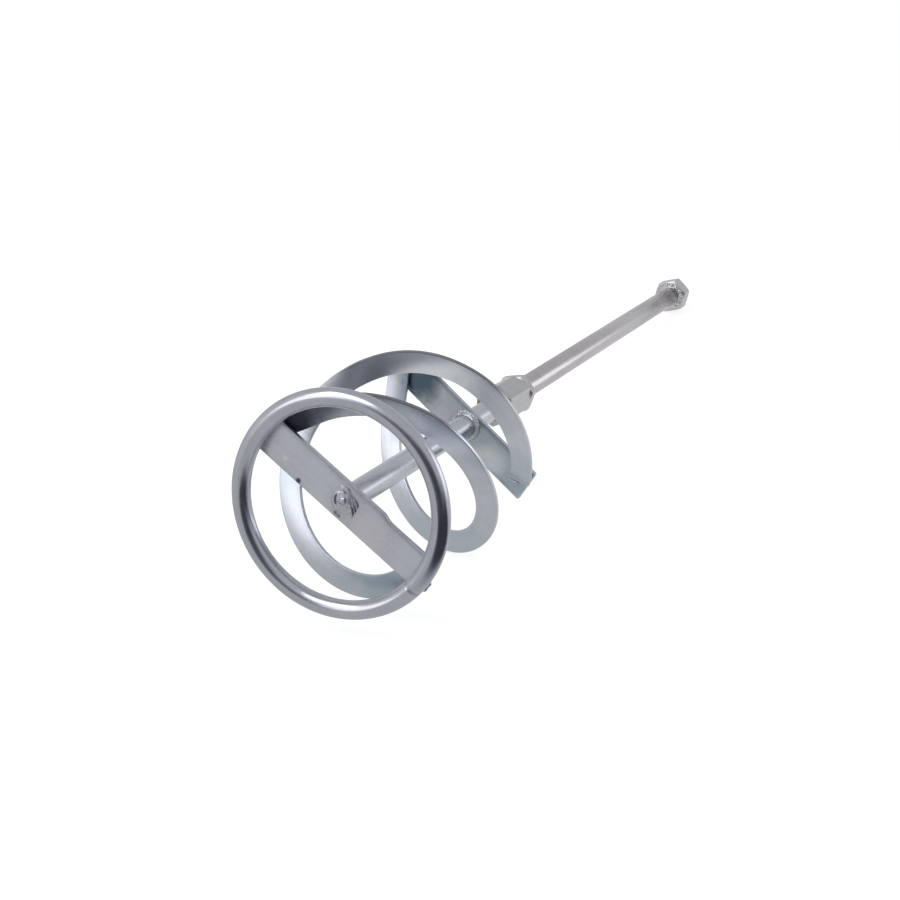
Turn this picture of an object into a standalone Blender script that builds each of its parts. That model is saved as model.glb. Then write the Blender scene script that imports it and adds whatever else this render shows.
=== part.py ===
"""Mortar mixing paddle: a ring, two crossbars and two ribbon blades welded to a
round shaft, with a screwed-on extension shaft, a coupling nut, a jam nut and a
drive nut. Lengths are in metres, angles in degrees, +Z is up.

The paddle lies along +Y with the ring in front. Every piece is modelled in the
shaft's own frame: local Z runs along the shaft from the ring's mid-plane to the
drive end, and local X points right when the ring is looked at from the front.
"""

from collections import namedtuple
from math import cos, degrees, pi, radians, sin, sqrt, tan

import bmesh
import bpy
from mathutils import Matrix, Vector

Finish = namedtuple("Finish", "color roughness")
Ribbon = namedtuple(
    "Ribbon", "letter start front_inset front_straight rear_inset rear_straight rear_stop belly_at ease bow"
)

# Ring
RING_OD = 0.120
RING_ROD = 0.010
SEAM_ANGLE = 43.5
SEAM_GAP = 0.0022
SEAM_BEAD_PROUD = 0.0001

# Crossbars
FRONT_BAR_WIDTH = 0.020
FRONT_BAR_REACH = 0.0025
FRONT_BAR_ANGLE = 36.6
REAR_BAR_WIDTH = 0.019
REAR_BAR_INSET = 0.0105
REAR_BAR_ANGLE = 40.4
REAR_BAR_Z = 0.163
BAR_THICK = 0.003
BAR_EDGE = 0.0004

# Ribbon blades: radii are insets from the ring's outside, and each end runs straight for some degrees
BLADE_WIDTH = 0.0126
BLADE_THICK = 0.0025
BLADE_BELLY_INSET = 0.0004
BLADE_LAP = 9.0
BLADE_FRONT_STOP = 3.0
BLADE_A = Ribbon(
    "a", FRONT_BAR_ANGLE, front_inset=0.0049, front_straight=23.9,
    rear_inset=0.0130, rear_straight=23.3, rear_stop=3.0, belly_at=0.62, ease=0.30, bow=-0.0226,
)
BLADE_B = Ribbon(
    "b", FRONT_BAR_ANGLE + 180.0, front_inset=0.0072, front_straight=29.6,
    rear_inset=0.0122, rear_straight=36.6, rear_stop=8.0, belly_at=0.59, ease=0.54, bow=0.0021,
)

# Shafts
SHAFT_DIAMETER = 0.0133
SHAFT_CHAMFER = 0.0008
FRONT_END_PROUD = 0.0012
EXTENSION_LENGTH = 0.348
DRIVE_THREAD_PROUD = 0.006

# Nuts
NUT_ACROSS_FLATS = 0.021
NUT_CHAMFER_ANGLE = 30.0
NUT_COUNTERSINK = 0.0008
COUPLING_Z = 0.2065
COUPLING_LENGTH = 0.0325
COUPLING_TURN = 3.0
JAM_NUT_THICK = 0.007
JAM_NUT_TURN = 21.0
DRIVE_NUT_THICK = 0.0128
DRIVE_NUT_TURN = 16.0

# Weld beads
HUB_FILLET = 0.0026
COUPLING_FILLET = 0.0022
FILLET_BELLY = 0.62
BAR_BEAD_RADIUS = 0.0013
BAR_BEAD_HALF = 0.0022
BAR_BEAD_OFFSET = 0.0041
BLADE_BEAD_RADIUS = 0.0010
BLADE_BEAD_MARGIN = 0.0010
BLADE_BEAD_LENGTH = 0.0045

# Clearances
GAP = 0.0003
SHAFT_END_GAP = 0.0005

# Facets
ROUND_STEPS = 28
RING_STEPS = 72
SEAM_STEPS = 2
BLADE_STEPS = 84
RING_FACETS = 4
BEAD_FACETS = 2

# Finishes
BRIGHT_ZINC = Finish((0.62, 0.63, 0.66), 0.22)
SATIN_ZINC = Finish((0.60, 0.61, 0.64), 0.32)
WARM_ZINC = Finish((0.66, 0.65, 0.64), 0.34)
WELD_STEEL = Finish((0.42, 0.41, 0.40), 0.45)

# Sizes worked out from the ones above
SHAFT_R = SHAFT_DIAMETER / 2
BORE_R = SHAFT_R + GAP
ROD_R = RING_ROD / 2
OUTER_R = RING_OD / 2
RING_R = OUTER_R - ROD_R
FRONT_BAR_Z = ROD_R + GAP
FRONT_BAR_BACK = FRONT_BAR_Z + BAR_THICK
FRONT_BAR_HALF = RING_R + FRONT_BAR_REACH
BLADE_BELLY_R = OUTER_R - BLADE_BELLY_INSET
REAR_BAR_BACK = REAR_BAR_Z + BAR_THICK
REAR_BAR_HALF = OUTER_R - REAR_BAR_INSET
BLADE_FRONT_Z = FRONT_BAR_BACK + GAP + BLADE_THICK / 2
BLADE_REAR_Z = REAR_BAR_Z - GAP - BLADE_THICK / 2
BLADE_SWEEP = 360.0 + REAR_BAR_ANGLE - FRONT_BAR_ANGLE
COUPLING_MID = COUPLING_Z + COUPLING_LENGTH / 2
COUPLING_END = COUPLING_Z + COUPLING_LENGTH
EXTENSION_Z = COUPLING_MID + SHAFT_END_GAP
DRIVE_END_Z = EXTENSION_Z + EXTENSION_LENGTH
DRIVE_NUT_Z = DRIVE_END_Z - DRIVE_THREAD_PROUD - DRIVE_NUT_THICK
RING_Y = -(DRIVE_END_Z - ROD_R - SEAM_BEAD_PROUD) / 2


def polar(radius, angle, z):
    """Point at a radius and an angle around the shaft."""
    turn = radians(angle)
    return (radius * cos(turn), radius * sin(turn), z)


def clear_scene():
    for obj in list(bpy.data.objects):
        bpy.data.objects.remove(obj, do_unlink=True)


def new_collection(name):
    collection = bpy.data.collections.new(name)
    bpy.context.scene.collection.children.link(collection)
    return collection


def add_axis(collection):
    """Empty that carries the shaft's frame into the world."""
    axis = bpy.data.objects.new("paddle_axis", None)
    axis.location = (0.0, RING_Y, OUTER_R)
    axis.rotation_euler = (radians(-90.0), 0.0, 0.0)
    collection.objects.link(axis)
    return axis


def add_material(name, finish):
    material = bpy.data.materials.new(name)
    material.use_nodes = True
    shader = material.node_tree.nodes["Principled BSDF"]
    shader.inputs["Base Color"].default_value = (*finish.color, 1.0)
    shader.inputs["Metallic"].default_value = 1.0
    shader.inputs["Roughness"].default_value = finish.roughness
    return material


def place(name, data, finish):
    """Named piece in the shaft's frame, with its own material."""
    piece = bpy.data.objects.new(name, data)
    parts.objects.link(piece)
    piece.parent = paddle_axis
    data.materials.append(add_material(name + "_finish", finish))
    return piece


def place_cutter(name, mesh):
    cutter = bpy.data.objects.new(name, mesh)
    cutters.objects.link(cutter)
    cutter.parent = paddle_axis
    cutter.hide_render = True
    cutter.display_type = "WIRE"
    return cutter


def add_boolean(piece, cutter, operation):
    modifier = piece.modifiers.new(cutter.name, "BOOLEAN")
    modifier.operation = operation
    modifier.object = cutter


def finished_mesh(name, bm):
    mesh = bpy.data.meshes.new(name)
    bm.to_mesh(mesh)
    bm.free()
    return mesh


def clockwise(profile):
    """The profile in the order that makes a turned shape face outwards."""
    following = profile[1:] + profile[:1]
    area = sum(a[0] * b[1] - b[0] * a[1] for a, b in zip(profile, following))
    return profile if area < 0 else profile[::-1]


def profile_mesh(name, profile, closed):
    """Outline of (radius, z) points as a chain of edges."""
    bm = bmesh.new()
    verts = [bm.verts.new((r, 0.0, z)) for r, z in clockwise(profile)]
    for first, second in zip(verts, verts[1:]):
        bm.edges.new((first, second))
    if closed:
        bm.edges.new((verts[-1], verts[0]))
    return finished_mesh(name, bm)


def add_turning(piece):
    screw = piece.modifiers.new("turning", "SCREW")
    screw.axis = "Z"
    screw.steps = ROUND_STEPS
    screw.render_steps = ROUND_STEPS
    screw.use_merge_vertices = True
    screw.merge_threshold = 0.00001
    screw.use_smooth_shade = True


def turned_cutter(name, profile):
    cutter = place_cutter(name, profile_mesh(name, profile, closed=False))
    add_turning(cutter)
    return cutter


def add_rod(name, z_low, z_high):
    """Shaft with chamfered ends."""
    profile = [
        (0.0, z_high),
        (SHAFT_R - SHAFT_CHAMFER, z_high),
        (SHAFT_R, z_high - SHAFT_CHAMFER),
        (SHAFT_R, z_low + SHAFT_CHAMFER),
        (SHAFT_R - SHAFT_CHAMFER, z_low),
        (0.0, z_low),
    ]
    rod = place(name, profile_mesh(name, profile, closed=False), SATIN_ZINC)
    add_turning(rod)


def plain_hole(name, z_low, z_high):
    """Through hole for the shaft."""
    top = z_high + BAR_THICK
    bottom = z_low - BAR_THICK
    return turned_cutter(name, [(0.0, top), (BORE_R, top), (BORE_R, bottom), (0.0, bottom)])


def countersunk_hole(name, z_low, z_high):
    """Through hole for the shaft, widened at both mouths."""
    mouth = BORE_R + NUT_COUNTERSINK
    top = z_high + BAR_THICK
    bottom = z_low - BAR_THICK
    profile = [
        (0.0, top),
        (mouth, top),
        (mouth, z_high),
        (BORE_R, z_high - NUT_COUNTERSINK),
        (BORE_R, z_low + NUT_COUNTERSINK),
        (mouth, z_low),
        (mouth, bottom),
        (0.0, bottom),
    ]
    return turned_cutter(name, profile)


def chamfer_drum(name, z_low, z_high, corner_r):
    """Turned drum whose sloping ends take the corners off a hexagon."""
    flat_r = NUT_ACROSS_FLATS / 2
    drum_r = corner_r + GAP
    slope = tan(radians(NUT_CHAMFER_ANGLE)) * (drum_r - flat_r)
    profile = [
        (0.0, z_high),
        (flat_r, z_high),
        (drum_r, z_high - slope),
        (drum_r, z_low + slope),
        (flat_r, z_low),
        (0.0, z_low),
    ]
    return turned_cutter(name, profile)


def add_nut(name, z_low, length, turn, finish):
    """Hexagon nut with chamfered corners and a countersunk bore."""
    corner_r = NUT_ACROSS_FLATS / 2 / cos(pi / 6)
    z_high = z_low + length
    where = Matrix.Translation((0.0, 0.0, z_low + length / 2)) @ Matrix.Rotation(radians(turn), 4, "Z")
    bm = bmesh.new()
    bmesh.ops.create_cone(
        bm, cap_ends=True, segments=6, radius1=corner_r, radius2=corner_r, depth=length, matrix=where
    )
    nut = place(name, finished_mesh(name, bm), finish)
    add_boolean(nut, chamfer_drum(name + "_drum", z_low, z_high, corner_r), "INTERSECT")
    add_boolean(nut, countersunk_hole(name + "_bore", z_low, z_high), "DIFFERENCE")


def add_bar(name, half_length, width, z_low, angle):
    """Flat bar across the shaft, with a hole for it and eased edges."""
    size = Matrix.Diagonal((2 * half_length, width, BAR_THICK, 1.0))
    where = Matrix.Translation((0.0, 0.0, z_low + BAR_THICK / 2)) @ Matrix.Rotation(radians(angle), 4, "Z")
    bm = bmesh.new()
    bmesh.ops.create_cube(bm, size=1.0, matrix=where @ size)
    bar = place(name, finished_mesh(name, bm), SATIN_ZINC)
    bevel = bar.modifiers.new("eased_edges", "BEVEL")
    bevel.width = BAR_EDGE
    bevel.segments = 1
    add_boolean(bar, plain_hole(name + "_hole", z_low, z_low + BAR_THICK), "DIFFERENCE")


def blade_station(ribbon, turn):
    """Outer edge of a ribbon, some degrees past the front bar, and the way out to it from the inner edge."""
    bent_span = BLADE_SWEEP - ribbon.front_straight - ribbon.rear_straight
    bent = min(max(turn - ribbon.front_straight, 0.0), bent_span)
    if bent < bent_span * ribbon.belly_at:
        share = bent / (bent_span * ribbon.belly_at)
        end_radius = OUTER_R - ribbon.front_inset
    else:
        share = (1.0 - bent / bent_span) / (1.0 - ribbon.belly_at)
        end_radius = OUTER_R - ribbon.rear_inset
    radius = end_radius + (BLADE_BELLY_R - end_radius) * share ** 2 * (3.0 - 2.0 * share)
    along = (turn - BLADE_LAP) / (BLADE_SWEEP - 2 * BLADE_LAP)
    along = min(max(along, 0.0), 1.0)
    rise = along - ribbon.ease * sin(2 * pi * along) / (2 * pi)
    # The bow is greatest two thirds of the way along, where this hump comes to one.
    hump = 27.0 / 4.0 * along ** 2 * (1.0 - along)
    height = BLADE_FRONT_Z + (BLADE_REAR_Z - BLADE_FRONT_Z) * rise + ribbon.bow * hump
    bent_turn = ribbon.front_straight + bent
    outward = Vector(polar(1.0, ribbon.start + bent_turn, 0.0))
    onward = Vector(polar(1.0, ribbon.start + bent_turn + 90.0, 0.0))
    point = outward * radius + onward * radius * tan(radians(turn - bent_turn))
    point.z = height
    return point, outward


def add_blade(ribbon):
    """Flat ribbon of one turn, lapped on the back of the front bar and the face of the rear bar."""
    name = "blade_" + ribbon.letter
    bm = bmesh.new()
    span = BLADE_SWEEP - BLADE_FRONT_STOP - ribbon.rear_stop
    rungs = []
    for step in range(BLADE_STEPS + 1):
        point, outward = blade_station(ribbon, BLADE_FRONT_STOP + span * step / BLADE_STEPS)
        rungs.append((bm.verts.new(point - outward * BLADE_WIDTH), bm.verts.new(point)))
    for (inner, outer), (next_inner, next_outer) in zip(rungs, rungs[1:]):
        bm.faces.new((inner, outer, next_outer, next_inner))
    mesh = finished_mesh(name, bm)
    mesh.shade_smooth()
    blade = place(name, mesh, SATIN_ZINC)
    solidify = blade.modifiers.new("sheet_thickness", "SOLIDIFY")
    solidify.thickness = BLADE_THICK
    solidify.offset = 0.0
    solidify.use_even_offset = True


def add_tube(name, points, radius, facets, finish):
    """Round rod along a line of points, closed at both ends."""
    curve = bpy.data.curves.new(name, "CURVE")
    curve.dimensions = "3D"
    curve.bevel_depth = radius
    curve.bevel_resolution = facets
    curve.use_fill_caps = True
    spline = curve.splines.new("POLY")
    spline.points.add(len(points) - 1)
    for point, place_at in zip(spline.points, points):
        point.co = (*place_at, 1.0)
    place(name, curve, finish)


def ring_arc(first_angle, last_angle, steps):
    span = last_angle - first_angle
    return [polar(RING_R, first_angle + span * step / steps, 0.0) for step in range(steps + 1)]


def add_ring():
    """Round rod bent to a ring, with the bead that closes its two ends."""
    half_gap = degrees(SEAM_GAP / 2 / RING_R)
    half_bead = degrees((SEAM_GAP / 2 - GAP) / RING_R)
    rod = ring_arc(SEAM_ANGLE + half_gap, SEAM_ANGLE + 360.0 - half_gap, RING_STEPS)
    bead = ring_arc(SEAM_ANGLE - half_bead, SEAM_ANGLE + half_bead, SEAM_STEPS)
    add_tube("bottom_ring", rod, ROD_R, RING_FACETS, BRIGHT_ZINC)
    add_tube("ring_seam_weld", bead, ROD_R + SEAM_BEAD_PROUD, RING_FACETS, WELD_STEEL)


def add_fillet(name, z_face, direction, leg):
    """Ring of weld between the shaft and a face square to it."""
    foot = z_face + direction * GAP
    middle = leg * FILLET_BELLY
    profile = [
        (BORE_R, foot),
        (BORE_R + leg, foot),
        (BORE_R + middle, foot + direction * middle),
        (BORE_R, foot + direction * leg),
    ]
    fillet = place(name, profile_mesh(name, profile, closed=True), WELD_STEEL)
    add_turning(fillet)


def add_bar_bead(name, angle):
    """Short bead between one end of the front bar and the back of the ring, a little to one side."""
    middle = FRONT_BAR_HALF + GAP + BAR_BEAD_RADIUS
    reach = BAR_BEAD_RADIUS + ROD_R + GAP
    z = sqrt(reach ** 2 - (middle - RING_R) ** 2)
    centre = Vector(polar(middle, angle, z))
    sideways = Vector(polar(1.0, angle + 90.0, 0.0))
    points = [centre + sideways * (BAR_BEAD_OFFSET + side * BAR_BEAD_HALF) for side in (-1.0, 1.0)]
    add_tube(name, points, BAR_BEAD_RADIUS, BEAD_FACETS, WELD_STEEL)


def add_blade_bead(name, ribbon, turn, beyond, z):
    """Short bead at the inner corner of a ribbon's cut end, on the bar that the ribbon is lapped on."""
    point, outward = blade_station(ribbon, turn)
    onward = Vector((-outward.y, outward.x, 0.0))
    first = point - outward * (BLADE_WIDTH - BLADE_BEAD_MARGIN) + onward * beyond * (BLADE_BEAD_RADIUS + GAP)
    first.z = z
    add_tube(name, [first, first + outward * BLADE_BEAD_LENGTH], BLADE_BEAD_RADIUS, BEAD_FACETS, WELD_STEEL)


def add_blade_with_beads(ribbon):
    add_blade(ribbon)
    name = "blade_" + ribbon.letter
    lift = GAP + BLADE_BEAD_RADIUS
    add_blade_bead(name + "_front_weld", ribbon, BLADE_FRONT_STOP, -1.0, FRONT_BAR_BACK + lift)
    add_blade_bead(name + "_rear_weld", ribbon, BLADE_SWEEP - ribbon.rear_stop, 1.0, REAR_BAR_Z - lift)


def add_shafts():
    add_rod("lower_shaft", FRONT_BAR_Z - FRONT_END_PROUD, COUPLING_MID - SHAFT_END_GAP)
    add_rod("upper_shaft", EXTENSION_Z, DRIVE_END_Z)


def add_bars():
    add_bar("front_crossbar", FRONT_BAR_HALF, FRONT_BAR_WIDTH, FRONT_BAR_Z, FRONT_BAR_ANGLE)
    add_bar("rear_crossbar", REAR_BAR_HALF, REAR_BAR_WIDTH, REAR_BAR_Z, REAR_BAR_ANGLE)
    add_bar_bead("front_bar_weld_right", FRONT_BAR_ANGLE)
    add_bar_bead("front_bar_weld_left", FRONT_BAR_ANGLE + 180.0)


def add_hub_welds():
    add_fillet("front_hub_weld", FRONT_BAR_Z, -1.0, FRONT_END_PROUD)
    add_fillet("front_hub_back_weld", FRONT_BAR_BACK, 1.0, HUB_FILLET)
    add_fillet("rear_hub_weld", REAR_BAR_Z, -1.0, HUB_FILLET)
    add_fillet("rear_hub_back_weld", REAR_BAR_BACK, 1.0, HUB_FILLET)
    add_fillet("coupling_weld", COUPLING_Z, -1.0, COUPLING_FILLET)


def add_nuts():
    add_nut("coupling_nut", COUPLING_Z, COUPLING_LENGTH, COUPLING_TURN, WARM_ZINC)
    add_nut("jam_nut", COUPLING_END + GAP, JAM_NUT_THICK, JAM_NUT_TURN, WARM_ZINC)
    add_nut("drive_nut", DRIVE_NUT_Z, DRIVE_NUT_THICK, DRIVE_NUT_TURN, SATIN_ZINC)


clear_scene()
parts = new_collection("mortar_mixing_paddle")
cutters = new_collection("cutters")
paddle_axis = add_axis(parts)
add_ring()
add_bars()
add_shafts()
add_blade_with_beads(BLADE_A)
add_blade_with_beads(BLADE_B)
add_hub_welds()
add_nuts()
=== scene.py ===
"""Looks of a zinc-plated mortar mixing paddle: a finely modelled piece for each
solid of the frame, plated finishes, soft studio light and the camera.

Every piece is modelled in the shaft's own frame, whose Z runs along the shaft
from the ring's mid-plane to the drive end, and is then turned into the world.
"""

from collections import namedtuple
from math import atan2, cos, degrees, hypot, pi, radians, sin, sqrt, tan

import bmesh
import bpy
from mathutils import Matrix, Vector, noise


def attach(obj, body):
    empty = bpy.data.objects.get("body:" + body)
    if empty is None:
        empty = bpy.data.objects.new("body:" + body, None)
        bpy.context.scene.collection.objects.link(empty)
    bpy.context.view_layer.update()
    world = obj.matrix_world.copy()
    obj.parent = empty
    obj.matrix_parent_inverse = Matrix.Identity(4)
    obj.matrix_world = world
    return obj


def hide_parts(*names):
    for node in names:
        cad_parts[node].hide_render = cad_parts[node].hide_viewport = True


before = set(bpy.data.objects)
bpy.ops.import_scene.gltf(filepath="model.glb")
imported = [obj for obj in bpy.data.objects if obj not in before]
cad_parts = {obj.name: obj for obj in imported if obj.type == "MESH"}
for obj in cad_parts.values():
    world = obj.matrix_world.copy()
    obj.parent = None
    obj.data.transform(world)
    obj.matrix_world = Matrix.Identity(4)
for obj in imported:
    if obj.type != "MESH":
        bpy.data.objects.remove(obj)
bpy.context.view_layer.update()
pieces = []

Ribbon = namedtuple(
    "Ribbon", "letter start front_radius front_straight rear_radius rear_straight rear_stop belly_at ease bow"
)

# Sizes shared with the solids
RING_Y = -0.283075
AXIS_HEIGHT = 0.060
RING_R = 0.055
ROD_R = 0.005
SEAM_ANGLE = 43.5
FRONT_BAR_Z = 0.0053
FRONT_BAR_HALF = 0.0575
FRONT_BAR_WIDTH = 0.020
FRONT_BAR_ANGLE = 36.6
REAR_BAR_Z = 0.163
REAR_BAR_HALF = 0.0495
REAR_BAR_WIDTH = 0.019
REAR_BAR_ANGLE = 40.4
BAR_THICK = 0.003
BLADE_WIDTH = 0.0126
BLADE_THICK = 0.0025
BLADE_BELLY_R = 0.0596
BLADE_LAP = 9.0
BLADE_FRONT_STOP = 3.0
BLADE_A = Ribbon("a", FRONT_BAR_ANGLE, 0.0551, 23.9, 0.0470, 23.3, 3.0, 0.62, 0.30, -0.0226)
BLADE_B = Ribbon("b", FRONT_BAR_ANGLE + 180.0, 0.0528, 29.6, 0.0478, 36.6, 8.0, 0.59, 0.54, 0.0021)
SHAFT_R = 0.00665
BORE_R = 0.00695
NUT_FLAT_R = 0.0105
COUPLING_Z = 0.2065
COUPLING_END = 0.239
COUPLING_TURN = 3.0
JAM_NUT_Z = 0.2393
JAM_NUT_END = 0.2463
JAM_NUT_TURN = 21.0
EXTENSION_Z = 0.22325
DRIVE_NUT_Z = 0.55245
DRIVE_NUT_END = 0.56525
DRIVE_NUT_TURN = 16.0
DRIVE_END_Z = 0.57125
LOWER_SHAFT_Z = 0.0041
LOWER_SHAFT_END = 0.22225
BAR_BEAD_R = 0.0013
BLADE_BEAD_R = 0.0010
GAP = 0.0003

# Sizes of the ring and the bars in detail
RING_SKIN_R = 0.00494
RING_END_EASE = 0.0004
RING_END_SIZES = (0.98, 0.985)
SEAM_GAP = 0.0011
SEAM_CLEARANCE = 0.0001
# Thickness of the seam's bead along its short run
SEAM_CROWN = (0.99, 0.998, 1.0, 1.0, 0.998, 1.0, 0.998, 0.995, 0.98)
BAR_CORNER_R = 0.0011
BAR_EDGE_R = 0.0005
BORE_MARGIN = 0.0005
FRONT_BAR_STEP = 0.0017
FRONT_BAR_STEP_AT = 0.0195
FRONT_BAR_STEP_RUN = 0.006
REAR_BAR_SKEW = 0.0011
REAR_BAR_SKEW_AT = 0.044

# Sizes of the ribbons in detail, with the angle at which they lean most, how far
# to either side of it they lean and over how much of that the lean fades
BLADE_CORNER_R = 0.00045
BLADE_END_R = 0.0003
BLADE_LEAN = 14.0
LEAN_MIDDLE = 273.0
LEAN_REACH = 44.0
LEAN_FADE = 24.0

# Sizes of the shafts and threads in detail, first the lower shaft's domed front
SHAFT_DOME = ((0.0, 0.0009), (0.0030, 0.00092), (0.0055, 0.0010), (0.0063, 0.0013), (SHAFT_R, 0.0018))
SHAFT_CHAMFER = 0.0008
EXTENSION_CHAMFER = 0.0006
SHOULDER_DROP = 0.00015
SHOULDER_RUN = 0.00025
THREAD_PITCH = 0.002
THREAD_ROOT_R = 0.0056
THREAD_CREST_R = 0.0066
THREAD_SUNK = 0.0001
THREAD_ROOT_HALF = 0.00092
THREAD_CREST_HALF = 0.00022
THREAD_RELIEF = 0.0012
THREAD_LAP = 0.0002
THREAD_LEAD = 0.0010

# Sizes of the nuts in detail
NUT_CHAMFER = 0.0003
NUT_CHAMFER_ANGLE = 30.0
NUT_EDGE_R = 0.0003
NUT_GROOVE = 0.0008
NUT_MOUTH_DEPTH = 0.0003
NUT_MOUTH_R = BORE_R + 0.0003
DRIVE_NUT_MOUTH_R = SHAFT_R + 0.00015
DROP_FLATNESS = 0.8
# Radius, angle and size of each drop of metal on the drive nut's front
DRIVE_NUT_DROPS = (
    (0.0086, -104.0, 0.0012),
    (0.0087, -78.0, 0.0015),
    (0.0088, -54.0, 0.0017),
    (0.0090, -31.0, 0.0016),
    (0.0087, -9.0, 0.0017),
    (0.0088, 12.0, 0.0015),
    (0.0087, 33.0, 0.0017),
    (0.0086, 56.0, 0.0014),
)

# Sizes of the welds in detail
RIPPLE_PITCH = 0.0013
HUB_BEAD_LEG = 0.0026
COUPLING_BEAD_LEG = 0.0034
HUB_BEAD_SEAT = 0.00006
HUB_BEAD_LAID = 364.0
CRESCENT_BOW = 0.0011
BAR_BEAD_HALF_RUN = 0.0034
BAR_BEAD_OFFSET = 0.0041
BLADE_BEAD_RUN = 0.0062
CAP_R = 0.0096
CAP_HEIGHT = 0.0008
CAP_SUNK = 0.0003
CAP_DROP_PLACE = (-0.0003, -0.0004, FRONT_BAR_Z - 0.0007)
CAP_DROP_SIZE = (0.0022, 0.0020, 0.0008)
RIDGE_HALF_WIDTH = 0.0005
RIDGE_HALF_HEIGHT = 0.0010
# Radius and angle of the two ends of each ridge on the front hub's weld
HUB_RIDGES = (
    ((0.0082, 252.0), (0.0070, 304.0)),
    ((0.0063, 250.0), (0.0048, 290.0)),
    ((0.0056, 228.0), (0.0046, 154.0)),
    ((0.0024, 12.0), (0.0090, 63.0)),
    ((0.0042, 8.0), (0.0084, 42.0)),
    ((0.0055, -26.0), (0.0082, 20.0)),
    ((0.0082, 142.0), (0.0086, 104.0)),
)

# Weld heat: the brown halo on the bars and the scorch at the coupling's end
HALO_SHARE = 0.12
HALO_R = 0.0125
HALO_FADE = 0.004
SCORCH_ANGLE = 215.0
SCORCH_REACH = 0.0075
SCORCH_FADE = 0.007
SHAFT_SCORCH = 0.6
SHAFT_SCORCH_RUN = 0.010
SHAFT_SCORCH_FADE = 0.008

# Facets and steps of the meshes
RING_FACETS = 44
RING_STEPS = 220
BORE_FACETS = 32
BAR_STEPS = 24
BLADE_STEPS = 280
SHAFT_FACETS = 72
THREAD_FACETS = 30
THREAD_FADE_STEPS = 20.0
NUT_FACETS = 96
BEAD_FACETS = 18
BEAD_STEPS = 60
HUB_BEAD_STEPS = 320
FILLET_STEPS = 8
RIDGE_FACETS = 20
RIDGE_STEPS = 40
CAP_FACETS = 96
CAP_STEPS = 24
MERGE_DISTANCE = 0.000001
SAME_PLACE = 0.00001

FRONT_BAR_BACK = FRONT_BAR_Z + BAR_THICK
BLADE_FRONT_Z = FRONT_BAR_BACK + GAP + BLADE_THICK / 2
BLADE_REAR_Z = REAR_BAR_Z - GAP - BLADE_THICK / 2
BLADE_SWEEP = 360.0 + REAR_BAR_ANGLE - FRONT_BAR_ANGLE
SHAFT_FRAME = Matrix.Translation((0.0, RING_Y, AXIS_HEIGHT)) @ Matrix.Rotation(radians(-90.0), 4, "X")


def bar_place(z, angle):
    """Frame of a bar's front face, with X along the bar."""
    return Matrix.Translation((0.0, 0.0, z)) @ Matrix.Rotation(radians(angle), 4, "Z")


FRONT_BAR_PLACE = bar_place(FRONT_BAR_Z, FRONT_BAR_ANGLE)
REAR_BAR_PLACE = bar_place(REAR_BAR_Z, REAR_BAR_ANGLE)


def polar(radius, angle, z):
    """Point at a radius and an angle around the shaft."""
    turn = radians(angle)
    return Vector((radius * cos(turn), radius * sin(turn), z))


def smooth_step(value):
    value = min(max(value, 0.0), 1.0)
    return value * value * (3.0 - 2.0 * value)


# Shader nodes

EVEN = (1.0, 1.0, 1.0)
WHITE = (1.0, 1.0, 1.0, 1.0)
# Colours of the marks on the zinc
BAND_SHADE = (0.34, 0.35, 0.38, 1.0)
PIT_SHADE = (0.25, 0.25, 0.26, 1.0)
SCRATCH_SHADE = (0.80, 0.81, 0.83, 1.0)
SCORCH_SHADE = (0.26, 0.175, 0.10, 1.0)
# Colours of the weld metal
WELD_HOLLOW = (0.40, 0.405, 0.43, 1.0)
WELD_CREST = (0.60, 0.61, 0.65, 1.0)
WELD_TINT = (0.42, 0.46, 0.50, 1.0)
WELD_SCORCH = (0.19, 0.13, 0.085, 1.0)
# The dark outer side of the ribbons: where it begins and is full, by height and
# by distance in from the outer side, and how strong it is
RIM_HEIGHTS = (0.088, 0.098)
RIM_DEPTHS = (-0.0006, -0.0003)
RIM_WEIGHT = 0.85


def put(tree, kind, values=None, **settings):
    """Adds a shader node, with its settings and with its inputs set or linked."""
    item = tree.nodes.new("ShaderNode" + kind)
    for key, value in settings.items():
        setattr(item, key, value)
    for key, value in (values or {}).items():
        if isinstance(value, bpy.types.NodeSocket):
            tree.links.new(value, item.inputs[key])
        else:
            item.inputs[key].default_value = value
    return item


def mix_color(tree, factor, first, second):
    return put(tree, "Mix", {0: factor, 6: first, 7: second}, data_type="RGBA").outputs[2]


def ramp(tree, value, low, high, to_low=0.0, to_high=1.0):
    """A value spread smoothly from one range to another."""
    values = {"Value": value, "From Min": low, "From Max": high, "To Min": to_low, "To Max": to_high}
    return put(tree, "MapRange", values, interpolation_type="SMOOTHSTEP").outputs[0]


def arithmetic(tree, operation, first, second):
    return put(tree, "Math", {0: first, 1: second}, operation=operation).outputs[0]


def times(tree, first, second):
    return arithmetic(tree, "MULTIPLY", first, second)


def streaks(tree, vector, stretch, scale, detail=3.0, rough=0.55):
    """Noise, drawn out or pressed along each axis."""
    moved = put(tree, "Mapping", {"Vector": vector, "Scale": stretch}).outputs[0]
    values = {"Vector": moved, "Scale": scale, "Detail": detail, "Roughness": rough}
    return put(tree, "TexNoise", values).outputs["Fac"]


def new_group(name, given, made):
    """A group that is given one vector and makes some values, with the sockets at its two ends."""
    group = bpy.data.node_groups.new(name, "ShaderNodeTree")
    group.interface.new_socket(given, in_out="INPUT", socket_type="NodeSocketVector")
    for label in made:
        group.interface.new_socket(label, in_out="OUTPUT", socket_type="NodeSocketFloat")
    entry = group.nodes.new("NodeGroupInput").outputs[given]
    return group, entry, group.nodes.new("NodeGroupOutput").inputs


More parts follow.
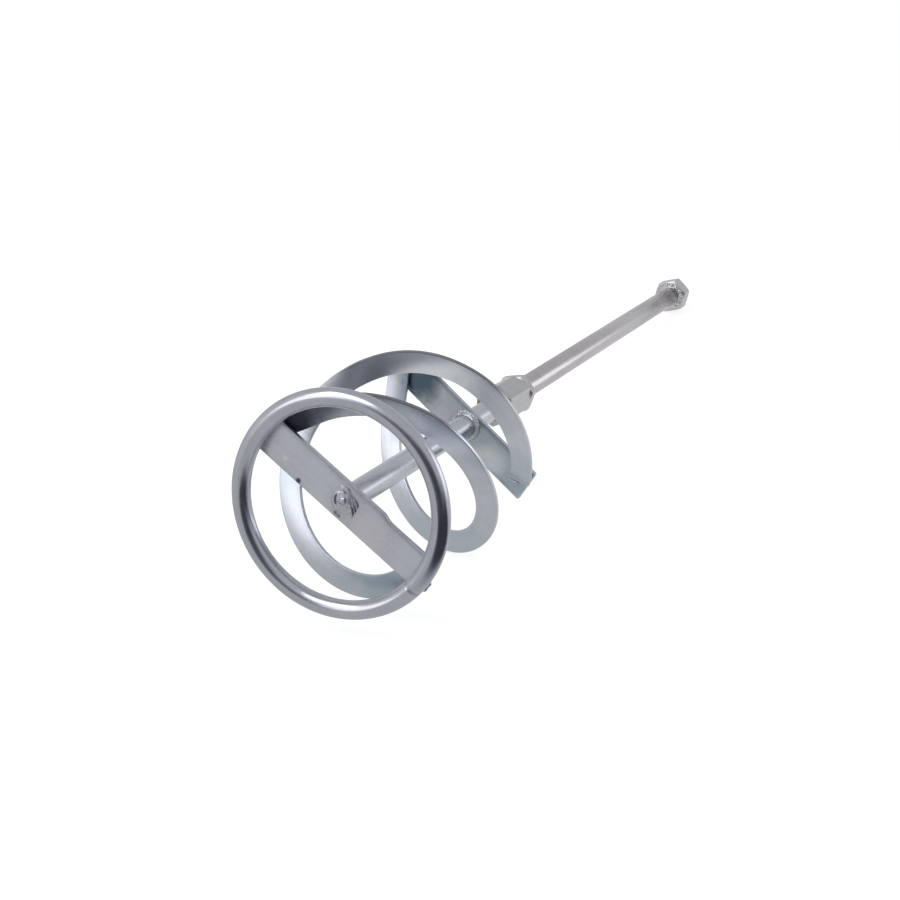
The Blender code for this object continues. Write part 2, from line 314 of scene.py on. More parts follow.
def make_plating_group():
    """Cloudy bloom, broad tint and fine pits of an electroplated surface."""
    group, place, made = new_group("zinc_plating", "Place", ("Bloom", "Tint", "Pits"))
    broad = streaks(group, place, EVEN, 46.0, detail=4.0, rough=0.6)
    small = streaks(group, place, EVEN, 330.0, detail=3.0)
    blend = arithmetic(group, "ADD", times(group, broad, 0.78), times(group, small, 0.22))
    group.links.new(ramp(group, blend, 0.36, 0.64), made["Bloom"])
    tint = streaks(group, place, EVEN, 21.0, detail=2.0)
    group.links.new(ramp(group, tint, 0.42, 0.66), made["Tint"])
    pits = streaks(group, place, EVEN, 1500.0, detail=1.0)
    group.links.new(ramp(group, pits, 0.66, 0.78), made["Pits"])
    return group


def make_grain_group():
    """Fine lines that run along a rolled or drawn piece."""
    group, grain, made = new_group("drawn_grain", "Grain", ("Lines", "Bands"))
    lines = streaks(group, grain, (1.0, 1.0, 0.012), 2600.0, detail=2.0)
    group.links.new(ramp(group, lines, 0.3, 0.7), made["Lines"])
    bands = streaks(group, grain, (1.0, 1.0, 0.03), 420.0, detail=2.0)
    group.links.new(ramp(group, bands, 0.35, 0.65), made["Bands"])
    return group


def make_marks_group():
    """Sparse thin scratches and rubbed patches from handling."""
    group, place, made = new_group("handling_marks", "Place", ("Scratches", "Rubs"))
    veins = []
    for turn, scale in (((0.3, 0.8, 0.2), 95.0), ((1.1, 0.1, 0.9), 130.0)):
        slanted = put(group, "Mapping", {"Vector": place, "Rotation": turn}).outputs[0]
        wave = streaks(group, slanted, (1.0, 0.12, 1.0), scale, detail=1.0)
        line = arithmetic(group, "ABSOLUTE", arithmetic(group, "SUBTRACT", wave, 0.5), 0.0)
        veins.append(ramp(group, line, 0.0, 0.006, 1.0, 0.0))
    both = arithmetic(group, "MAXIMUM", veins[0], veins[1])
    where = streaks(group, place, EVEN, 64.0, detail=1.0)
    group.links.new(times(group, both, ramp(group, where, 0.56, 0.66)), made["Scratches"])
    rubs = streaks(group, place, EVEN, 85.0, detail=5.0, rough=0.7)
    group.links.new(ramp(group, rubs, 0.52, 0.72), made["Rubs"])
    return group


ZINC_PLATING = make_plating_group()
DRAWN_GRAIN = make_grain_group()
HANDLING_MARKS = make_marks_group()


def new_finish(name):
    """A new material and its nodes."""
    material = bpy.data.materials.new(name)
    material.use_nodes = True
    return material, material.node_tree


def finish_metal(tree, color, rough, height, strength, distance):
    """Gives a metal's colour, roughness and fine relief to its shader."""
    shader = tree.nodes["Principled BSDF"]
    tree.links.new(color, shader.inputs["Base Color"])
    tree.links.new(rough, shader.inputs["Roughness"])
    shader.inputs["Metallic"].default_value = 1.0
    bump = put(tree, "Bump", {"Height": height, "Strength": strength, "Distance": distance})
    tree.links.new(bump.outputs[0], shader.inputs["Normal"])


def zinc_finish(name, pale, deep, tint, roughness, bloom_roughness, lines_depth, stains_and_painted_light=(), cut_rim=None):
    """Zinc plate over steel, with drawn lines, bloom, marks, weld heat, stains and patches of painted light
    and shade.
    """
    material, tree = new_finish(name)
    place = put(tree, "TexCoord").outputs["Object"]
    grain = put(tree, "Attribute", attribute_name="grain").outputs["Vector"]
    scorch = put(tree, "Attribute", attribute_name="scorch").outputs["Fac"]
    plating = put(tree, "Group", {"Place": place}, node_tree=ZINC_PLATING).outputs
    lines = put(tree, "Group", {"Grain": grain}, node_tree=DRAWN_GRAIN).outputs
    marks = put(tree, "Group", {"Place": place}, node_tree=HANDLING_MARKS).outputs
    bloom = plating["Bloom"]

    color = mix_color(tree, bloom, (*deep, 1.0), (*pale, 1.0))
    for mark, weight, shade in (
        (plating["Tint"], 0.7, (*tint, 1.0)),
        (lines["Bands"], 0.10, BAND_SHADE),
        (plating["Pits"], 0.12, PIT_SHADE),
        (marks["Scratches"], 0.22, SCRATCH_SHADE),
        (scorch, ramp(tree, bloom, 0.0, 1.0, 0.65, 0.95), SCORCH_SHADE),
    ):
        color = mix_color(tree, times(tree, mark, weight), color, shade)
    # Stains, and patches of painted light and shade, mixed into the colour
    for spot, reach, tone, weight in stains_and_painted_light:
        away = put(tree, "VectorMath", {0: place, 1: spot}, operation="DISTANCE").outputs["Value"]
        uneven = arithmetic(tree, "ADD", away, times(tree, bloom, reach * 0.25))
        stain_and_painted_light = ramp(tree, uneven, reach * 0.5, reach * 1.4, weight, 0.0)
        color = mix_color(tree, stain_and_painted_light, color, (*tone, 1.0))
    if cut_rim:
        # The ribbons' outer sheared side is dark where they pass over the top.
        across = put(tree, "SeparateXYZ", {0: grain}).outputs["X"]
        height = put(tree, "SeparateXYZ", {0: place}).outputs["Z"]
        over_top = ramp(tree, height, *RIM_HEIGHTS, 0.0, RIM_WEIGHT)
        bare = times(tree, ramp(tree, across, *RIM_DEPTHS), over_top)
        color = mix_color(tree, bare, color, (*cut_rim, 1.0))

    rough = ramp(tree, bloom, 0.0, 1.0, roughness, roughness + bloom_roughness)
    for mark, added in ((marks["Rubs"], 0.07), (lines["Lines"], 0.05), (scorch, 0.18)):
        rough = arithmetic(tree, "ADD", rough, times(tree, mark, added))
    height = times(tree, lines["Lines"], lines_depth)
    for mark, depth in ((plating["Pits"], 0.5), (marks["Scratches"], 0.6)):
        height = arithmetic(tree, "SUBTRACT", height, times(tree, mark, depth))
    finish_metal(tree, color, rough, height, 0.12, 0.00012)
    return material


def weld_finish(name):
    """Plated weld metal: rough, uneven and darker in its hollows."""
    material, tree = new_finish(name)
    place = put(tree, "TexCoord").outputs["Object"]
    scorch = put(tree, "Attribute", attribute_name="scorch").outputs["Fac"]
    plating = put(tree, "Group", {"Place": place}, node_tree=ZINC_PLATING).outputs
    lumps = streaks(tree, place, EVEN, 900.0, detail=4.0, rough=0.65)
    color = mix_color(tree, ramp(tree, lumps, 0.3, 0.7), WELD_HOLLOW, WELD_CREST)
    tinted = times(tree, plating["Tint"], 0.4)
    color = mix_color(tree, tinted, color, WELD_TINT)
    color = mix_color(tree, times(tree, scorch, 0.85), color, WELD_SCORCH)
    finish_metal(tree, color, ramp(tree, lumps, 0.25, 0.75, 0.26, 0.42), lumps, 0.35, 0.0002)
    return material


def on_bar(bar, along, across):
    """Place on a bar's front face, measured from the shaft."""
    return SHAFT_FRAME @ bar @ Vector((along, across, 0.0))


# A burnt speck by the front bar's lower edge and a rubbed patch above it
BAR_SPECK = on_bar(FRONT_BAR_PLACE, -0.0251, 0.0086)
BAR_RUB = on_bar(FRONT_BAR_PLACE, -0.0372, 0.0040)
# Faint blue and warm patches of passivation on either side of the front bar's hub
BAR_BLUE = on_bar(FRONT_BAR_PLACE, -0.0190, -0.0030)
BAR_WARM = on_bar(FRONT_BAR_PLACE, 0.0200, 0.0030)
BAR_BLUE_END = on_bar(FRONT_BAR_PLACE, 0.0430, -0.0010)
# Dark blue, pale blue and straw patches of passivation on the rear bar; the pale blue and straw ones are also
# painted light, lightening the bar's lower right away from the shade along its upper edge
REAR_BAR_DARK = on_bar(REAR_BAR_PLACE, -0.0395, -0.001)
REAR_BAR_PALE_TINT_AND_LIGHT = on_bar(REAR_BAR_PLACE, 0.0260, 0.0035)
REAR_BAR_STRAW_TINT_AND_LIGHT = on_bar(REAR_BAR_PLACE, 0.0185, 0.0060)
# Painted dark reflection on ribbon B by its weld to the front bar: a dark patch in place of the dark room
# that the ribbon mirrors there
BLADE_PAINTED_REFLECTION = SHAFT_FRAME @ polar(0.0470, FRONT_BAR_ANGLE + 193.0, FRONT_BAR_BACK + 0.002)
BLADE_PAINTED_REFLECTION_END = SHAFT_FRAME @ polar(0.0490, FRONT_BAR_ANGLE + 212.0, FRONT_BAR_BACK + 0.005)
# A painted highlight over the top of ribbon A, a pale blue painted highlight on the upper right of ribbon B
# and teal patches on both
BLADE_PAINTED_HIGHLIGHT = SHAFT_FRAME @ polar(0.054, 280.0, 0.0955)
BLADE_BLUE_PAINTED_HIGHLIGHT = SHAFT_FRAME @ polar(0.0535, 318.0, 0.037)
BLADE_TEAL_LOW = SHAFT_FRAME @ polar(0.049, 68.0, 0.016)
BLADE_TEAL_TOP = SHAFT_FRAME @ polar(0.050, 302.0, 0.0305)
# Painted highlight round the drive nut's front, on the shaft beside it and on the nut's face
DRIVE_NUT_PAINTED_HIGHLIGHT = SHAFT_FRAME @ Vector((0.0, 0.0, DRIVE_NUT_Z))

# Finishes of the pieces, with the place, reach, tone and weight of each stain and each patch of painted light
# and shade
RING_ZINC = zinc_finish(
    "bright_ring_zinc", (0.55, 0.555, 0.61), (0.50, 0.505, 0.56), (0.47, 0.50, 0.56), 0.14, 0.04, 0.12
)
SHEET_ZINC = zinc_finish(
    "rolled_sheet_zinc", (0.63, 0.65, 0.71), (0.56, 0.58, 0.635), (0.47, 0.54, 0.60), 0.26, 0.05, 0.15,
    stains_and_painted_light=(
        # painted dark reflection on ribbon B by its front weld, and its fading end
        (BLADE_PAINTED_REFLECTION, 0.014, (0.035, 0.04, 0.055), 0.95),
        (BLADE_PAINTED_REFLECTION_END, 0.014, (0.15, 0.16, 0.19), 0.6),
        # painted highlight over the top of ribbon A
        (BLADE_PAINTED_HIGHLIGHT, 0.026, (0.93, 0.96, 0.98), 0.95),
        (BLADE_TEAL_LOW, 0.021, (0.38, 0.50, 0.57), 0.65),
        (BLADE_TEAL_TOP, 0.012, (0.43, 0.55, 0.60), 0.5),
        # pale blue painted highlight on the upper right of ribbon B
        (BLADE_BLUE_PAINTED_HIGHLIGHT, 0.022, (0.80, 0.86, 0.99), 0.75),
    ),
    cut_rim=(0.17, 0.175, 0.20),
)
FRONT_BAR_ZINC = zinc_finish(
    "front_bar_zinc", (0.645, 0.65, 0.705), (0.58, 0.585, 0.64), (0.55, 0.57, 0.63), 0.23, 0.06, 0.15,
    stains_and_painted_light=(
        (BAR_BLUE, 0.010, (0.58, 0.64, 0.74), 0.45),
        (BAR_WARM, 0.011, (0.69, 0.665, 0.70), 0.5),
        (BAR_BLUE_END, 0.010, (0.62, 0.66, 0.76), 0.5),
        (BAR_SPECK, 0.0016, (0.04, 0.04, 0.045), 0.9),
        (BAR_RUB, 0.0016, (0.85, 0.85, 0.85), 0.35),
    ),
)
REAR_BAR_ZINC = zinc_finish(
    "rear_bar_zinc", (0.60, 0.625, 0.67), (0.53, 0.555, 0.60), (0.44, 0.52, 0.57), 0.21, 0.05, 0.18,
    stains_and_painted_light=(
        (REAR_BAR_DARK, 0.018, (0.05, 0.10, 0.14), 0.9),
        # pale blue and straw passivation tint with painted light, right of the hub
        (REAR_BAR_PALE_TINT_AND_LIGHT, 0.010, (0.74, 0.80, 0.86), 0.75),
        (REAR_BAR_STRAW_TINT_AND_LIGHT, 0.006, (0.80, 0.77, 0.72), 0.5),
    ),
)
LOWER_ROD_ZINC = zinc_finish(
    "blue_rod_zinc", (0.61, 0.625, 0.685), (0.55, 0.565, 0.625), (0.51, 0.55, 0.61), 0.21, 0.05, 0.25
)
UPPER_ROD_ZINC = zinc_finish(
    "pale_rod_zinc", (0.588, 0.556, 0.582), (0.53, 0.50, 0.528), (0.51, 0.495, 0.53), 0.22, 0.05, 0.25,
    # painted highlight on the shaft by the drive nut
    stains_and_painted_light=((DRIVE_NUT_PAINTED_HIGHLIGHT, 0.015, (0.93, 0.90, 0.92), 0.9),),
)
NUT_ZINC = zinc_finish(
    "hexagon_bar_zinc", (0.58, 0.572, 0.59), (0.52, 0.513, 0.528), (0.51, 0.52, 0.54), 0.26, 0.06, 0.2,
    # painted highlight on the drive nut's front
    stains_and_painted_light=((DRIVE_NUT_PAINTED_HIGHLIGHT, 0.0085, (0.93, 0.92, 0.93), 0.9),),
)
WELD_ZINC = weld_finish("plated_weld")


# Modelling


def frame_at(origin, across, along):
    """Matrix whose X runs across a path and whose Z runs along it."""
    across = Vector(across).normalized()
    along = Vector(along)
    along = (along - along.project(across)).normalized()
    axes = Matrix((across, along.cross(across), along)).transposed().to_4x4()
    return Matrix.Translation(origin) @ axes


def new_mesh():
    """A bmesh with the layers that the finishes read."""
    bm = bmesh.new()
    bm.verts.layers.float_vector.new("grain")
    bm.verts.layers.float.new("scorch")
    return bm


def set_grain(bm, frame_matrix):
    """Grain that runs along a frame's Z."""
    layer = bm.verts.layers.float_vector["grain"]
    back = frame_matrix.inverted()
    for vert in bm.verts:
        vert[layer] = back @ vert.co


def set_heat(bm, heat):
    layer = bm.verts.layers.float["scorch"]
    for vert in bm.verts:
        vert[layer] = heat(vert.co)


def merge_doubles(bm):
    bmesh.ops.remove_doubles(bm, verts=bm.verts, dist=MERGE_DISTANCE)


def round_off(bm, geom, radius, segments, affect="EDGES"):
    """Rounds edges, or the corners of a flat outline."""
    bmesh.ops.bevel(
        bm, geom=geom, offset=radius, offset_type="OFFSET", segments=segments, profile=0.5,
        affect=affect, material=-1,
    )


def draw_out(bm, edges):
    """Extrudes edges in place, and gives the new corners and the new edges between them."""
    made = bmesh.ops.extrude_edge_only(bm, edges=edges)["geom"]
    verts = [item for item in made if isinstance(item, bmesh.types.BMVert)]
    fresh = set(verts)
    drawn = [item for item in made if isinstance(item, bmesh.types.BMEdge) and set(item.verts) <= fresh]
    return verts, drawn


def closed_outline(bm, points):
    verts = [bm.verts.new(point) for point in points]
    return [bm.edges.new(pair) for pair in zip(verts, verts[1:] + verts[:1])]


def sweep(bm, edges, frames):
    """Carries a closed section along a line of frames and closes both ends."""
    layer = bm.verts.layers.float_vector["grain"]
    travelled = 0.0
    for vert in {vert for edge in edges for vert in edge.verts}:
        local = frames[0].inverted() @ vert.co
        vert[layer] = (local.x, local.y, travelled)
    for before, after in zip(frames, frames[1:]):
        verts, edges = draw_out(bm, edges)
        bmesh.ops.transform(bm, matrix=after @ before.inverted(), verts=verts)
        travelled += (after.translation - before.translation).length
        for vert in verts:
            section = vert[layer]
            vert[layer] = (section.x, section.y, travelled)
    bmesh.ops.holes_fill(bm, edges=[edge for edge in bm.edges if edge.is_boundary], sides=0)


def round_section(bm, radius, segments, where):
    made = bmesh.ops.create_circle(bm, cap_ends=False, segments=segments, radius=radius, matrix=where)
    return list({edge for vert in made["verts"] for edge in vert.link_edges})


def strip_section(bm, width, thick, corner, where):
    """Rectangle with rounded corners, whose outer short side is at the frame's origin."""
    size = Matrix.Diagonal((width, thick, 1.0, 1.0))
    made = bmesh.ops.create_grid(bm, x_segments=1, y_segments=1, size=0.5, matrix=size)
    round_off(bm, made["verts"], corner, 3, affect="VERTICES")
    bmesh.ops.delete(bm, geom=bm.faces[:], context="FACES_ONLY")
    shift = Matrix.Translation((-width / 2, 0.0, 0.0))
    bmesh.ops.transform(bm, matrix=where @ shift, verts=bm.verts)
    return bm.edges[:]


def turned(bm, profile, steps, closed=False, start=0.0):
    """Turns an outline of (radius, z) points round the shaft."""
    verts = [bm.verts.new(polar(radius, start, z)) for radius, z in profile]
    pairs = list(zip(verts, verts[1:]))
    if closed:
        pairs.append((verts[-1], verts[0]))
    edges = [bm.edges.new(pair) for pair in pairs]
    bmesh.ops.spin(
        bm, geom=verts + edges, cent=(0.0, 0.0, 0.0), axis=(0.0, 0.0, 1.0),
        angle=2 * pi, steps=steps, use_merge=True,
    )


def place_mesh(name, bm, material):
    """Makes an object of a mesh, at the world's origin."""
    mesh = bpy.data.meshes.new(name)
    bm.to_mesh(mesh)
    bm.free()
    mesh.materials.append(material)
    placed = bpy.data.objects.new(name, mesh)
    bpy.context.scene.collection.objects.link(placed)
    return placed


def add_piece(name, bm, material, body, node, sharp=32.0):
    """Finishes a mesh, turns it into the world and sets it on its body in place of a solid."""
    merge_doubles(bm)
    bmesh.ops.recalc_face_normals(bm, faces=bm.faces)
    bmesh.ops.transform(bm, matrix=SHAFT_FRAME, verts=bm.verts)
    for face in bm.faces:
        face.smooth = True
    for edge in bm.edges:
        edge.smooth = edge.calc_face_angle(0.0) < radians(sharp)
    piece = place_mesh(name, bm, material)
    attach(piece, body)
    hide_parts(node)
    pieces.append(piece)
    return piece


# Ring and its seam


def ring_frame(angle, size=1.0):
    turn = radians(angle)
    across = (cos(turn), sin(turn), 0.0)
    return frame_at(polar(RING_R, angle, 0.0), across, (-sin(turn), cos(turn), 0.0)) @ Matrix.Scale(size, 4)


def add_ring():
    half_gap = degrees(SEAM_GAP / 2 / RING_R)
    first = SEAM_ANGLE + half_gap
    span = 360.0 - 2 * half_gap
    frames = [ring_frame(first + span * step / RING_STEPS) for step in range(RING_STEPS + 1)]
    ease = degrees(RING_END_EASE / RING_R)
    frames.insert(1, ring_frame(first + ease))
    frames.insert(-1, ring_frame(first + span - ease))
    frames[0] = ring_frame(first, RING_END_SIZES[0])
    frames[-1] = ring_frame(first + span, RING_END_SIZES[1])
    bm = new_mesh()
    sweep(bm, round_section(bm, RING_SKIN_R, RING_FACETS, frames[0]), frames)
    add_piece("ring_rod", bm, RING_ZINC, "mixing_head", "bottom_ring")


def add_ring_seam():
    """Bead in the ring's butt joint, dressed almost flush, with a fine sunken line on either side."""
    half = degrees((SEAM_GAP / 2 - SEAM_CLEARANCE) / RING_R)
    first = SEAM_ANGLE - half
    last = len(SEAM_CROWN) - 1
    frames = [ring_frame(first + 2 * half * step / last, size) for step, size in enumerate(SEAM_CROWN)]
    bm = new_mesh()
    sweep(bm, round_section(bm, RING_SKIN_R, RING_FACETS, frames[0]), frames)
    for vert in bm.verts:
        middle = polar(RING_R, degrees(atan2(vert.co.y, vert.co.x)), 0.0)
        vert.co -= (vert.co - middle) * 0.02 * abs(noise.noise(vert.co * 700.0))
    add_piece("ring_seam_bead", bm, WELD_ZINC, "mixing_head", "ring_seam_weld")


# Crossbars


def add_bar(name, node, half_length, width, place, material, reshape):
    """Flat bar with a hole for the shaft, sheared ends and softly rounded edges."""
    bm = new_mesh()
    half = width / 2

    def at_corner(co):
        return abs(abs(co.x) - half_length) < SAME_PLACE and abs(abs(co.y) - half) < SAME_PLACE

    bmesh.ops.create_circle(bm, cap_ends=False, segments=BORE_FACETS, radius=BORE_R)
    rim = bmesh.ops.create_circle(bm, cap_ends=False, segments=BORE_FACETS, radius=half)["verts"]
    for vert in rim:
        vert.co *= half / max(abs(vert.co.x), abs(vert.co.y))
    bmesh.ops.bridge_loops(bm, edges=bm.edges[:])
    for side in (1.0, -1.0):
        edges = [e for e in bm.edges if all(abs(v.co.x - side * half) < SAME_PLACE for v in e.verts)]
        for _ in range(BAR_STEPS):
            verts, edges = draw_out(bm, edges)
            step = side * (half_length - half) / BAR_STEPS
            bmesh.ops.translate(bm, verts=verts, vec=(step, 0.0, 0.0))
    made = bmesh.ops.extrude_face_region(bm, geom=bm.faces[:])["geom"]
    raised = [item for item in made if isinstance(item, bmesh.types.BMVert)]
    bmesh.ops.translate(bm, verts=raised, vec=(0.0, 0.0, BAR_THICK))
    bmesh.ops.recalc_face_normals(bm, faces=bm.faces)
    corners = [
        e for e in bm.edges
        if all(at_corner(v.co) for v in e.verts)
        and abs(e.verts[0].co.z - e.verts[1].co.z) > BAR_THICK / 2
    ]
    round_off(bm, corners, BAR_CORNER_R, 4)
    rims = [
        e for e in bm.edges
        if e.calc_face_angle(0.0) > radians(60.0)
        and hypot(e.verts[0].co.x, e.verts[0].co.y) > BORE_R + BORE_MARGIN
    ]
    round_off(bm, rims, BAR_EDGE_R, 3)
    for vert in bm.verts:
        reshape(vert.co)
    set_grain(bm, Matrix.Rotation(radians(90.0), 4, "Y"))
    set_heat(bm, lambda co: HALO_SHARE * smooth_step((HALO_R - hypot(co.x, co.y)) / HALO_FADE))
    bmesh.ops.transform(bm, matrix=place, verts=bm.verts)
    add_piece(name, bm, material, "mixing_head", node)


def narrow_right_half(co):
    """The front bar's upper edge steps in a little, some way out from the hub."""
    outer = smooth_step((co.x - FRONT_BAR_STEP_AT) / FRONT_BAR_STEP_RUN)
    co.y += FRONT_BAR_STEP * (outer * smooth_step(-co.y / (FRONT_BAR_WIDTH / 2)))


def skew_right_end(co):
    """The rear bar's right end is sheared a little out of square."""
    share = smooth_step((co.x - REAR_BAR_SKEW_AT) / (REAR_BAR_HALF - REAR_BAR_SKEW_AT))
    co.x += REAR_BAR_SKEW * share * co.y / (REAR_BAR_WIDTH / 2)


# Ribbon blades


def blade_height(ribbon, turn):
    along = (turn - BLADE_LAP) / (BLADE_SWEEP - 2 * BLADE_LAP)
    along = min(max(along, 0.0), 1.0)
    rise = along - ribbon.ease * sin(2 * pi * along) / (2 * pi)
    hump = 27.0 / 4.0 * along ** 2 * (1.0 - along)
    return BLADE_FRONT_Z + (BLADE_REAR_Z - BLADE_FRONT_Z) * rise + ribbon.bow * hump


def blade_edge(ribbon, turn):
    """Outer edge of a ribbon, some degrees past the front bar, and the way out to it from the inner edge."""
    bent_span = BLADE_SWEEP - ribbon.front_straight - ribbon.rear_straight
    bent = min(max(turn - ribbon.front_straight, 0.0), bent_span)
    if bent < bent_span * ribbon.belly_at:
        share = bent / (bent_span * ribbon.belly_at)
        end_radius = ribbon.front_radius
    else:
        share = (1.0 - bent / bent_span) / (1.0 - ribbon.belly_at)
        end_radius = ribbon.rear_radius
    radius = end_radius + (BLADE_BELLY_R - end_radius) * smooth_step(share)
    bent_turn = ribbon.front_straight + bent
    outward = polar(1.0, ribbon.start + bent_turn, 0.0)
    onward = polar(1.0, ribbon.start + bent_turn + 90.0, 0.0)
    point = outward * radius + onward * radius * tan(radians(turn - bent_turn))
    # The bends by the bars are eased over a few degrees.
    eased = [blade_height(ribbon, turn + shift) for shift in (-4.0, -2.0, 0.0, 2.0, 4.0)]
    point.z = sum(eased) / len(eased)
    return point, outward


def blade_frame(ribbon, turn):
    """Frame of a ribbon's section, which leans forward a little where the ribbon passes over the top."""
    point, outward = blade_edge(ribbon, turn)
    ahead = blade_edge(ribbon, turn + 0.5)[0] - blade_edge(ribbon, turn - 0.5)[0]
    off_top = abs((ribbon.start + turn) % 360.0 - LEAN_MIDDLE)
    share = smooth_step((LEAN_REACH - off_top) / LEAN_FADE)
    lean = Matrix.Rotation(radians(BLADE_LEAN) * share, 4, "Z")
    to_middle = Matrix.Translation((-BLADE_WIDTH / 2, 0.0, 0.0))
    return frame_at(point, outward, ahead) @ to_middle @ lean @ to_middle.inverted()


def add_blade(ribbon):
    span = BLADE_SWEEP - BLADE_FRONT_STOP - ribbon.rear_stop
    turns = [BLADE_FRONT_STOP + span * step / BLADE_STEPS for step in range(BLADE_STEPS + 1)]
    frames = [blade_frame(ribbon, turn) for turn in turns]
    bm = new_mesh()
    sweep(bm, strip_section(bm, BLADE_WIDTH, BLADE_THICK, BLADE_CORNER_R, frames[0]), frames)
    ends = [edge for edge in bm.edges if edge.calc_face_angle(0.0) > radians(70.0)]
    round_off(bm, ends, BLADE_END_R, 2)
    name = "blade_" + ribbon.letter
    add_piece("ribbon_" + ribbon.letter, bm, SHEET_ZINC, "mixing_head", name)


# Shafts and threads


def add_thread(bm, z_low, z_high):
    """Right-handed ridge round a shaft's core, run out at both ends."""
    turns = (z_high - z_low) / THREAD_PITCH
    steps = int(turns * THREAD_FACETS)
    frames = []
    for step in range(steps + 1):
        angle = 360.0 * turns * step / steps
        turn = radians(angle)
        z = z_low + (z_high - z_low) * step / steps
        depth = smooth_step(min(step, steps - step) / THREAD_FADE_STEPS)
        ahead = (-sin(turn), cos(turn), THREAD_PITCH / (2 * pi * THREAD_CREST_R))
        place = frame_at(polar(THREAD_ROOT_R - THREAD_SUNK, angle, z), (cos(turn), sin(turn), 0.0), ahead)
        frames.append(place @ Matrix.Diagonal((0.1 + 0.9 * depth, 1.0, 1.0, 1.0)))
    height = THREAD_CREST_R - THREAD_ROOT_R + THREAD_SUNK
    outline = (
        (0.0, -THREAD_ROOT_HALF),
        (height, -THREAD_CREST_HALF),
        (height, THREAD_CREST_HALF),
        (0.0, THREAD_ROOT_HALF),
    )
    sweep(bm, closed_outline(bm, [frames[0] @ Vector((x, y, 0.0)) for x, y in outline]), frames)


def add_lower_shaft():
    bm = new_mesh()
    profile = [(radius, LOWER_SHAFT_Z + back) for radius, back in SHAFT_DOME]
    profile.append((SHAFT_R, REAR_BAR_Z / 2))
    profile += [(SHAFT_R, COUPLING_Z - back) for back in (0.010, 0.008, 0.006, 0.004, 0.002)]
    profile += [
        (SHAFT_R, LOWER_SHAFT_END - SHAFT_CHAMFER),
        (SHAFT_R - SHAFT_CHAMFER, LOWER_SHAFT_END),
        (0.0, LOWER_SHAFT_END),
    ]
    turned(bm, profile, SHAFT_FACETS)
    set_grain(bm, Matrix.Identity(4))

    def heat(co):
        near = smooth_step((co.z - COUPLING_Z + SHAFT_SCORCH_RUN) / SHAFT_SCORCH_FADE)
        return SHAFT_SCORCH * near * coupling_heat(co)

    set_heat(bm, heat)
    add_piece("lower_round_shaft", bm, LOWER_ROD_ZINC, "mixing_head", "lower_shaft")


def add_upper_shaft():
    bm = new_mesh()
    front_end = JAM_NUT_END + THREAD_RELIEF
    rear_start = DRIVE_NUT_Z + THREAD_RELIEF
    shoulder = SHAFT_R - THREAD_ROOT_R
    profile = [
        (0.0, EXTENSION_Z),
        (THREAD_ROOT_R - EXTENSION_CHAMFER, EXTENSION_Z),
        (THREAD_ROOT_R, EXTENSION_Z + EXTENSION_CHAMFER),
        (THREAD_ROOT_R, front_end),
        (SHAFT_R - SHOULDER_DROP, front_end + shoulder),
        (SHAFT_R, front_end + shoulder + SHOULDER_RUN),
        (SHAFT_R, (front_end + rear_start) / 2),
        (SHAFT_R, rear_start - shoulder - SHOULDER_RUN),
        (SHAFT_R - SHOULDER_DROP, rear_start - shoulder),
        (THREAD_ROOT_R, rear_start),
        (THREAD_ROOT_R, DRIVE_END_Z - SHAFT_CHAMFER),
        (THREAD_ROOT_R - SHAFT_CHAMFER, DRIVE_END_Z),
        (0.0, DRIVE_END_Z),
    ]
    turned(bm, profile, SHAFT_FACETS)
    set_grain(bm, Matrix.Identity(4))
    add_thread(bm, EXTENSION_Z + THREAD_LEAD, front_end + THREAD_LAP)
    add_thread(bm, rear_start - THREAD_LAP, DRIVE_END_Z - THREAD_LEAD)
    add_piece("upper_round_shaft", bm, UPPER_ROD_ZINC, "extension", "upper_shaft")


# Nuts


